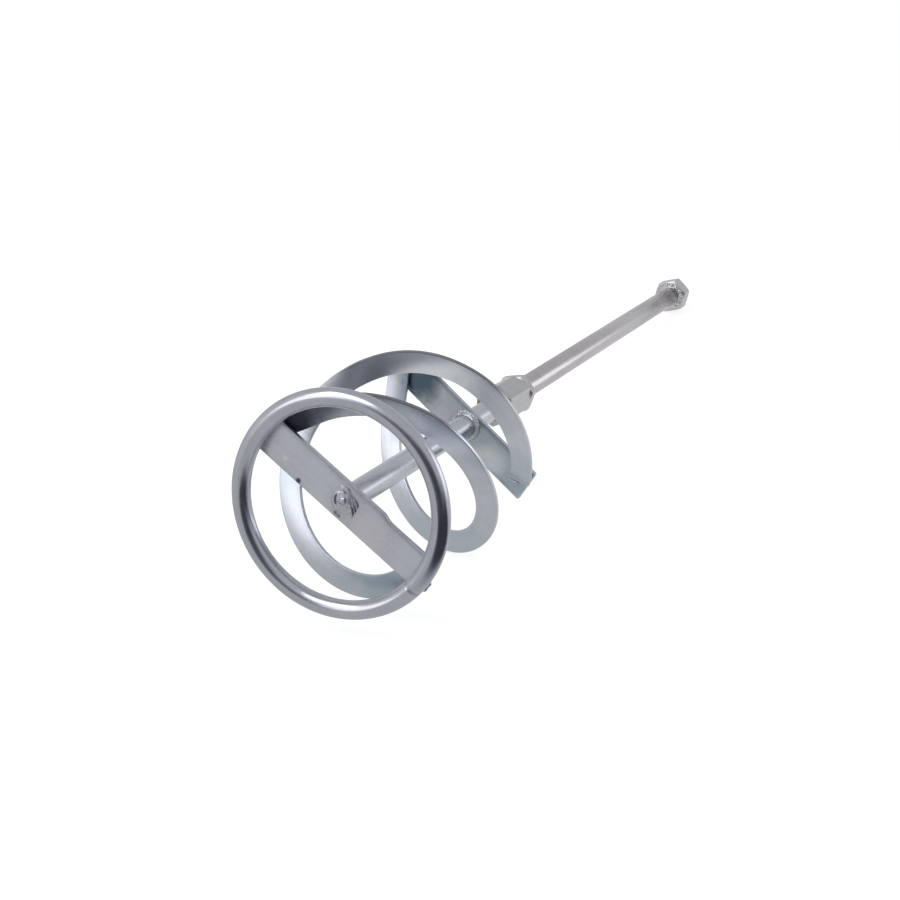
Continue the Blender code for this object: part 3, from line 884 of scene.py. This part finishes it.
def add_nut(
    name, node, body, z_low, z_high, turn, heat=None, wall_steps=1, mouth=NUT_MOUTH_R, drops=()
):
    """Hexagon nut with conical chamfers, soft corners, a threaded bore and drops of metal on its front."""
    corner_r = NUT_FLAT_R / cos(pi / 6)
    face_r = NUT_FLAT_R - NUT_CHAMFER
    profile = [(mouth, z_low), (face_r, z_low)]
    profile += [(corner_r, z_low + (z_high - z_low) * step / wall_steps) for step in range(wall_steps + 1)]
    profile += [(face_r, z_high), (mouth, z_high)]
    z = z_high - NUT_MOUTH_DEPTH
    groove = False
    while z > z_low + NUT_MOUTH_DEPTH:
        profile.append((BORE_R + NUT_GROOVE if groove else BORE_R, z))
        z -= THREAD_PITCH / 2
        groove = not groove
    profile.append((BORE_R, z_low + NUT_MOUTH_DEPTH))
    bm = new_mesh()
    turned(bm, profile, NUT_FACETS, closed=True, start=turn)
    merge_doubles(bm)
    slope = tan(radians(NUT_CHAMFER_ANGLE))
    for vert in bm.verts:
        if hypot(vert.co.x, vert.co.y) > NUT_FLAT_R:
            angle = degrees(atan2(vert.co.y, vert.co.x))
            off_flat = (angle - turn + 30.0) % 60.0 - 30.0
            radius = NUT_FLAT_R / cos(radians(off_flat))
            drop = (radius - NUT_FLAT_R + NUT_CHAMFER) * slope
            vert.co = polar(radius, angle, min(max(vert.co.z, z_low + drop), z_high - drop))
    bmesh.ops.recalc_face_normals(bm, faces=bm.faces)
    corners = [
        edge for edge in bm.edges
        if all(hypot(v.co.x, v.co.y) > corner_r - SAME_PLACE for v in edge.verts)
        and abs(edge.verts[0].co.z - edge.verts[1].co.z) > 0.0005
    ]
    round_off(bm, corners, NUT_EDGE_R, 3)
    for radius, angle, size in drops:
        flattened = Matrix.Diagonal((size, size, size * DROP_FLATNESS, 1.0))
        place = Matrix.Translation(polar(radius, angle, z_low)) @ flattened
        bmesh.ops.create_uvsphere(bm, u_segments=24, v_segments=14, radius=1.0, matrix=place)
    set_grain(bm, Matrix.Identity(4))
    if heat:
        set_heat(bm, heat)
    return add_piece(name, bm, NUT_ZINC, body, node, sharp=20.0)


def coupling_heat(co):
    """Brown scorch at the coupling's welded end, strongest on its upper left."""
    upper_left = polar(1.0, SCORCH_ANGLE, 0.0)
    facing = (co.x * upper_left.x + co.y * upper_left.y) / max(hypot(co.x, co.y), 0.001)
    side = 0.12 + 0.88 * smooth_step((facing + 0.1) / 0.8)
    return side * smooth_step((COUPLING_Z + SCORCH_REACH - co.z) / SCORCH_FADE)


# Weld beads


def ripple(travelled, seed):
    """Thickness of a bead along its run, with a step for each puddle of metal."""
    puddle = travelled / RIPPLE_PITCH % 1.0
    return 0.88 + 0.12 * puddle + 0.08 * noise.noise(Vector((seed, travelled * 450.0, 0.0)))


def add_bead(name, node, first, last, across, radius, seed):
    """Straight bead with rounded ends and a rippled thickness."""
    run = last - first
    frames = []
    for step in range(BEAD_STEPS + 1):
        travelled = run.length * step / BEAD_STEPS
        from_end = min(travelled, run.length - travelled) / (radius * 1.2)
        size = ripple(travelled, seed)
        if from_end < 1.0:
            size *= max(sqrt(1.0 - (1.0 - from_end) ** 2), 0.12)
        point = first + run * (step / BEAD_STEPS)
        frames.append(frame_at(point, across, run) @ Matrix.Scale(size, 4))
    bm = new_mesh()
    sweep(bm, round_section(bm, radius, BEAD_FACETS, frames[0]), frames)
    add_piece(name, bm, WELD_ZINC, "mixing_head", node)


def add_hub_bead(name, node, z_face, direction, leg, seed, heat=None):
    """Fillet round the shaft on one face of a bar, with crescents where the puddles of metal set."""
    steps = HUB_BEAD_STEPS
    seat_r, seat_z = SHAFT_R + HUB_BEAD_SEAT, z_face + direction * HUB_BEAD_SEAT
    frames = []
    for step in range(steps + 1):
        point = polar(seat_r, HUB_BEAD_LAID * step / steps + seed * 70.0, seat_z)
        outward = Vector((point.x, point.y, 0.0))
        size = smooth_step(0.25 + 0.75 * min(step, steps - step) / 14.0)
        frames.append(frame_at(point, outward, (-point.y, point.x, 0.0)) @ Matrix.Scale(size, 4))
    bm = new_mesh()
    outline = [Vector((0.0, 0.0, 0.0))]
    for share in range(FILLET_STEPS + 1):
        swing = radians(90.0 * share / FILLET_STEPS)
        reach = leg * (0.86 + 0.14 * abs(cos(2 * swing)))
        outline.append(Vector((reach * cos(swing), -direction * reach * sin(swing), 0.0)))
    sweep(bm, closed_outline(bm, [frames[0] @ point for point in outline]), frames)
    for vert in bm.verts:
        angle = atan2(vert.co.y, vert.co.x)
        out, up = hypot(vert.co.x, vert.co.y) - seat_r, direction * (vert.co.z - seat_z)
        swing = atan2(up, out) / (pi / 2) if hypot(out, up) > 0.0001 else 0.5
        puddle = (angle * seat_r + CRESCENT_BOW * (2.0 * swing - 1.0) ** 2) / RIPPLE_PITCH % 1.0
        lumps = noise.noise(vert.co * 420.0 + Vector((seed, 0.0, 0.0)))
        grown = 0.90 + 0.13 * puddle + 0.10 * lumps
        vert.co = polar(seat_r + out * grown, degrees(angle), seat_z + direction * up * grown)
    if heat:
        set_heat(bm, heat)
    add_piece(name, bm, WELD_ZINC, "mixing_head", node, sharp=50.0)


def lay_ridge(bm, first, last):
    """Low ridge of weld on the front bar's face, between two places given as radius and angle."""
    steps = RIDGE_STEPS
    frames = []
    points = []
    for step in range(steps + 1):
        share = step / steps
        radius = first[0] + (last[0] - first[0]) * share
        angle = first[1] + (last[1] - first[1]) * share
        sway = 0.0003 * noise.noise(Vector((share * 3.0, first[0] * 900.0, first[1])))
        points.append(polar(radius + sway, angle, FRONT_BAR_Z - 0.0002))
    for step, point in enumerate(points):
        ahead = points[min(step + 1, steps)] - points[max(step - 1, 0)]
        size = smooth_step(0.2 + 0.8 * min(step, steps - step) / 10.0)
        place = frame_at(point, (ahead.y, -ahead.x, 0.0), ahead)
        flatness = RIDGE_HALF_HEIGHT / RIDGE_HALF_WIDTH
        frames.append(place @ Matrix.Diagonal((size, size * flatness, size, 1.0)))
    sweep(bm, round_section(bm, RIDGE_HALF_WIDTH, RIDGE_FACETS, frames[0]), frames)


def add_front_swirl():
    """Weld over the shaft's front end: a low cap with short ridges on it, and a drop at the middle."""
    bm = new_mesh()
    outline = [(0.0, FRONT_BAR_Z + CAP_SUNK)]
    for step in range(CAP_STEPS, -1, -1):
        share = step / CAP_STEPS
        rise = (CAP_HEIGHT + CAP_SUNK) * (1.0 - smooth_step(share)) - CAP_SUNK
        outline.append((CAP_R * share, FRONT_BAR_Z - rise))
    turned(bm, outline, CAP_FACETS)
    merge_doubles(bm)
    for vert in bm.verts:
        if vert.co.z < FRONT_BAR_Z:
            vert.co.z += 0.4 * (vert.co.z - FRONT_BAR_Z) * noise.noise(vert.co * 380.0)
    for first, last in HUB_RIDGES:
        lay_ridge(bm, first, last)
    drop = Matrix.Translation(CAP_DROP_PLACE) @ Matrix.Diagonal((*CAP_DROP_SIZE, 1.0))
    made = bmesh.ops.create_uvsphere(bm, u_segments=32, v_segments=20, radius=1.0, matrix=drop)
    for vert in made["verts"]:
        vert.co += (vert.co - drop.translation) * 0.3 * noise.noise(vert.co * 700.0)
    add_piece("front_hub_swirl", bm, WELD_ZINC, "mixing_head", "front_hub_weld", sharp=50.0)


def add_bar_end_bead(name, node, angle, seed):
    """Short bead between an end of the front bar and the back of the ring, a little to one side."""
    middle = FRONT_BAR_HALF + GAP + BAR_BEAD_R
    z = sqrt((BAR_BEAD_R + ROD_R + GAP) ** 2 - (middle - RING_R) ** 2)
    centre = polar(middle, angle, z)
    sideways = polar(1.0, angle + 90.0, 0.0)
    first = centre + sideways * (BAR_BEAD_OFFSET - BAR_BEAD_HALF_RUN)
    last = centre + sideways * (BAR_BEAD_OFFSET + BAR_BEAD_HALF_RUN)
    add_bead(name, node, first, last, centre - Vector((0.0, 0.0, z)), BAR_BEAD_R, seed)


def add_blade_end_bead(name, node, ribbon, turn, beyond, z, seed):
    """Short bead at the inner corner of a ribbon's cut end."""
    point, outward = blade_edge(ribbon, turn)
    onward = Vector((-outward.y, outward.x, 0.0))
    first = point - outward * BLADE_WIDTH + onward * beyond * (BLADE_BEAD_R + GAP)
    first.z = z
    add_bead(name, node, first, first + outward * BLADE_BEAD_RUN, onward, BLADE_BEAD_R, seed)


def add_blade_beads(ribbon, seed):
    name = "ribbon_" + ribbon.letter
    node = "blade_" + ribbon.letter
    lift = GAP + BLADE_BEAD_R
    rear_end = BLADE_SWEEP - ribbon.rear_stop
    for end, turn, beyond, z, end_seed in (
        ("front", BLADE_FRONT_STOP, -1.0, FRONT_BAR_BACK + lift, seed),
        ("rear", rear_end, 1.0, REAR_BAR_Z - lift, seed + 1.0),
    ):
        bead, weld = f"{name}_{end}_bead", f"{node}_{end}_weld"
        add_blade_end_bead(bead, weld, ribbon, turn, beyond, z, end_seed)


# The pieces, from the ring to the drive nut


add_ring()
add_ring_seam()
add_bar(
    "front_flat_bar", "front_crossbar", FRONT_BAR_HALF, FRONT_BAR_WIDTH, FRONT_BAR_PLACE, FRONT_BAR_ZINC,
    narrow_right_half,
)
add_bar(
    "rear_flat_bar", "rear_crossbar", REAR_BAR_HALF, REAR_BAR_WIDTH, REAR_BAR_PLACE, REAR_BAR_ZINC,
    skew_right_end,
)
add_bar_end_bead("front_bar_bead_right", "front_bar_weld_right", FRONT_BAR_ANGLE, 11.0)
add_bar_end_bead("front_bar_bead_left", "front_bar_weld_left", FRONT_BAR_ANGLE + 180.0, 12.0)
add_blade(BLADE_A)
add_blade(BLADE_B)
add_blade_beads(BLADE_A, 21.0)
add_blade_beads(BLADE_B, 25.0)
add_lower_shaft()
add_upper_shaft()
add_front_swirl()
add_hub_bead("front_hub_back_bead", "front_hub_back_weld", FRONT_BAR_BACK, 1.0, HUB_BEAD_LEG, 1.0)
add_hub_bead("rear_hub_bead", "rear_hub_weld", REAR_BAR_Z, -1.0, HUB_BEAD_LEG, 2.0)
add_hub_bead("rear_hub_back_bead", "rear_hub_back_weld", REAR_BAR_Z + BAR_THICK, 1.0, HUB_BEAD_LEG, 4.0)
add_hub_bead("coupling_bead", "coupling_weld", COUPLING_Z, -1.0, COUPLING_BEAD_LEG, 5.0, heat=coupling_heat)
add_nut(
    "long_coupling_nut", "coupling_nut", "mixing_head", COUPLING_Z, COUPLING_END, COUPLING_TURN,
    heat=coupling_heat, wall_steps=14,
)
add_nut("thin_jam_nut", "jam_nut", "jam_nut", JAM_NUT_Z, JAM_NUT_END, JAM_NUT_TURN)
drive_nut = add_nut(
    "end_drive_nut", "drive_nut", "drive_nut", DRIVE_NUT_Z, DRIVE_NUT_END, DRIVE_NUT_TURN,
    mouth=DRIVE_NUT_MOUTH_R, drops=DRIVE_NUT_DROPS,
)


# Floor, light and camera

DARK_ROOM = (0.82, 0.84, 1.0, 1.0)
PALE_ROOM = (0.98, 0.99, 1.0, 1.0)
# Round patches of the studio that are brighter than the rest, as the metal shows them: azimuth, elevation,
# half width at the outer edge and where full, in degrees, and the light added
BRIGHT_PATCHES = (
    (54.0, 10.0, 25.0, 7.0, 1.10),
    (30.0, 4.0, 14.0, 4.0, 0.60),
    (0.0, -3.0, 26.0, 10.0, 0.12),
    (-125.0, 15.0, 46.0, 12.0, 0.12),
    (-143.0, 19.0, 22.0, 9.0, 1.10),
)
# Dark patches in the same way, with the share of the light that they take
DARK_PATCHES = (
    (104.0, -24.0, 40.0, 8.0, 1.0),
    (150.0, -2.0, 40.0, 4.0, 1.0),
    (180.0, 3.0, 27.0, 6.0, 0.80),
)
DARKEST = 0.14
FLOOR_DARKEST = 0.12
FLOOR_RADIUS = 0.8
FLOOR_GAP = 0.0003
# The photograph's camera, solved from the ring and the shaft
CAMERA_PLACE = Vector((0.440, RING_Y - 0.902, AXIS_HEIGHT + 0.3126))
CAMERA_FORWARD = Vector((-0.37376, 0.88645, -0.27296))
CAMERA_RIGHT = Vector((0.92144, 0.38851, 0.0))
CAMERA_LENS = 84.52
CAMERA_SENSOR = 36.0


def heading(azimuth, elevation):
    """Direction in the studio, in degrees: azimuth 0 is behind the paddle and 90 is to its right."""
    turn, rise = radians(azimuth), radians(elevation)
    return Vector((sin(turn) * cos(rise), cos(turn) * cos(rise), sin(rise)))


def facing(tree, vector, way):
    """How far a vector runs along a way."""
    values = {0: vector, 1: way}
    return put(tree, "VectorMath", values, operation="DOT_PRODUCT").outputs["Value"]


def seen_by_lens(tree, rays):
    return arithmetic(tree, "MAXIMUM", rays["Is Camera Ray"], rays["Is Transmission Ray"])


def floor_finish():
    """Pale paper: white to the lens with a soft shadow, darker in the metal towards the front right."""
    material, tree = new_finish("white_paper")
    tree.nodes.remove(tree.nodes["Principled BSDF"])
    rays = put(tree, "LightPath").outputs
    place = put(tree, "TexCoord").outputs["Object"]
    level = ramp(tree, facing(tree, place, (0.2, 1.0, 0.0)), -0.25, 0.02, 0.62, 0.80)
    beside_ring = ramp(tree, facing(tree, place, (0.0, -1.0, 0.0)), 0.19, 0.27)
    front_right = ramp(tree, facing(tree, place, (1.0, -0.35, 0.0)), 0.145, 0.225)
    dark = times(tree, beside_ring, front_right)
    level = times(tree, level, ramp(tree, dark, 0.0, 1.0, 1.0, FLOOR_DARKEST))
    hue = mix_color(tree, dark, WHITE, DARK_ROOM)
    mirrored = put(tree, "Emission", {"Color": hue, "Strength": level}).outputs[0]
    plain = put(tree, "BsdfDiffuse", {"Color": (0.7, 0.7, 0.7, 1.0)}).outputs[0]
    paper = put(tree, "BsdfDiffuse", {"Color": (0.45, 0.45, 0.45, 1.0)}).outputs[0]
    glow = put(tree, "Emission", {"Color": WHITE, "Strength": 0.75}).outputs[0]
    lit = put(tree, "AddShader", {0: paper, 1: glow}).outputs[0]
    glossy = put(tree, "MixShader", {0: rays["Is Glossy Ray"], 1: plain, 2: mirrored}).outputs[0]
    whole = put(tree, "MixShader", {0: seen_by_lens(tree, rays), 1: glossy, 2: lit})
    tree.links.new(whole.outputs[0], tree.nodes["Material Output"].inputs["Surface"])
    return material


def add_floor():
    """Sheet of paper on which the paddle lies: it touches the drive nut and the ribbons' lowest edge."""
    rest = min((vert.co for vert in drive_nut.data.vertices), key=lambda co: co.z)
    ahead = [v.co for piece in pieces for v in piece.data.vertices if v.co.y < rest.y - 0.1]
    slope = max((rest.z - co.z) / (rest.y - co.y) for co in ahead)
    bm = bmesh.new()
    bmesh.ops.create_circle(bm, cap_ends=True, segments=64, radius=FLOOR_RADIUS)
    for vert in bm.verts:
        vert.co.z = rest.z - FLOOR_GAP - slope * (rest.y - vert.co.y)
    floor = place_mesh("paper_floor", bm, floor_finish())


def add_world():
    """Pale studio with a dark room to the front right, and plain white behind the paddle."""
    world = bpy.data.worlds.new("studio")
    bpy.context.scene.world = world
    world.use_nodes = True
    tree = world.node_tree
    tree.nodes.clear()
    toward = put(tree, "TexCoord").outputs["Generated"]

    def patch(azimuth, elevation, outer, inner):
        """One in the middle of a round patch of the studio and nought outside it."""
        match = facing(tree, toward, heading(azimuth, elevation))
        return ramp(tree, match, cos(radians(outer)), cos(radians(inner)))

    up = put(tree, "SeparateXYZ", {0: toward}).outputs["Z"]
    level = ramp(tree, up, -0.3, 0.9, 0.66, 0.62)
    for *where, gain in BRIGHT_PATCHES:
        level = arithmetic(tree, "ADD", level, times(tree, patch(*where), gain))
    kept = None
    for *where, share in DARK_PATCHES:
        clear = arithmetic(tree, "SUBTRACT", 1.0, times(tree, patch(*where), share))
        kept = clear if kept is None else times(tree, kept, clear)
    shaded = arithmetic(tree, "ADD", times(tree, kept, 1.0 - DARKEST), DARKEST)
    level = times(tree, level, shaded)
    hue = mix_color(tree, kept, DARK_ROOM, PALE_ROOM)
    room = put(tree, "Background", {"Color": hue, "Strength": level}).outputs[0]
    white = put(tree, "Background", {"Color": WHITE, "Strength": 1.0}).outputs[0]
    rays = put(tree, "LightPath").outputs
    both = put(tree, "MixShader", {0: seen_by_lens(tree, rays), 1: room, 2: white})
    put(tree, "OutputWorld", {"Surface": both.outputs[0]})


def add_softbox(name, azimuth, elevation, distance, width, height, power):
    """Soft lamp some way off the ring's middle and turned to it."""
    light = bpy.data.lights.new(name, "AREA")
    light.shape = "RECTANGLE"
    light.size = width
    light.size_y = height
    light.energy = power
    lamp = bpy.data.objects.new(name, light)
    way = heading(azimuth, elevation)
    lamp.location = Vector((0.0, RING_Y, AXIS_HEIGHT)) + way * distance
    lamp.rotation_euler = (-way).to_track_quat("-Z", "Y").to_euler()
    bpy.context.scene.collection.objects.link(lamp)


def add_camera():
    lens = bpy.data.cameras.new("photo_camera")
    lens.sensor_width = CAMERA_SENSOR
    lens.lens = CAMERA_LENS
    camera = bpy.data.objects.new("photo_camera", lens)
    axes = (CAMERA_RIGHT, CAMERA_RIGHT.cross(CAMERA_FORWARD), -CAMERA_FORWARD)
    camera.matrix_world = Matrix.Translation(CAMERA_PLACE) @ Matrix(axes).transposed().to_4x4()
    bpy.context.scene.collection.objects.link(camera)
    bpy.context.scene.camera = camera


add_floor()
add_world()
add_softbox("key_softbox", azimuth=-150.0, elevation=50.0, distance=1.6, width=1.0, height=0.9, power=6.8)
add_camera()
bpy.context.scene.view_settings.view_transform = "Standard"
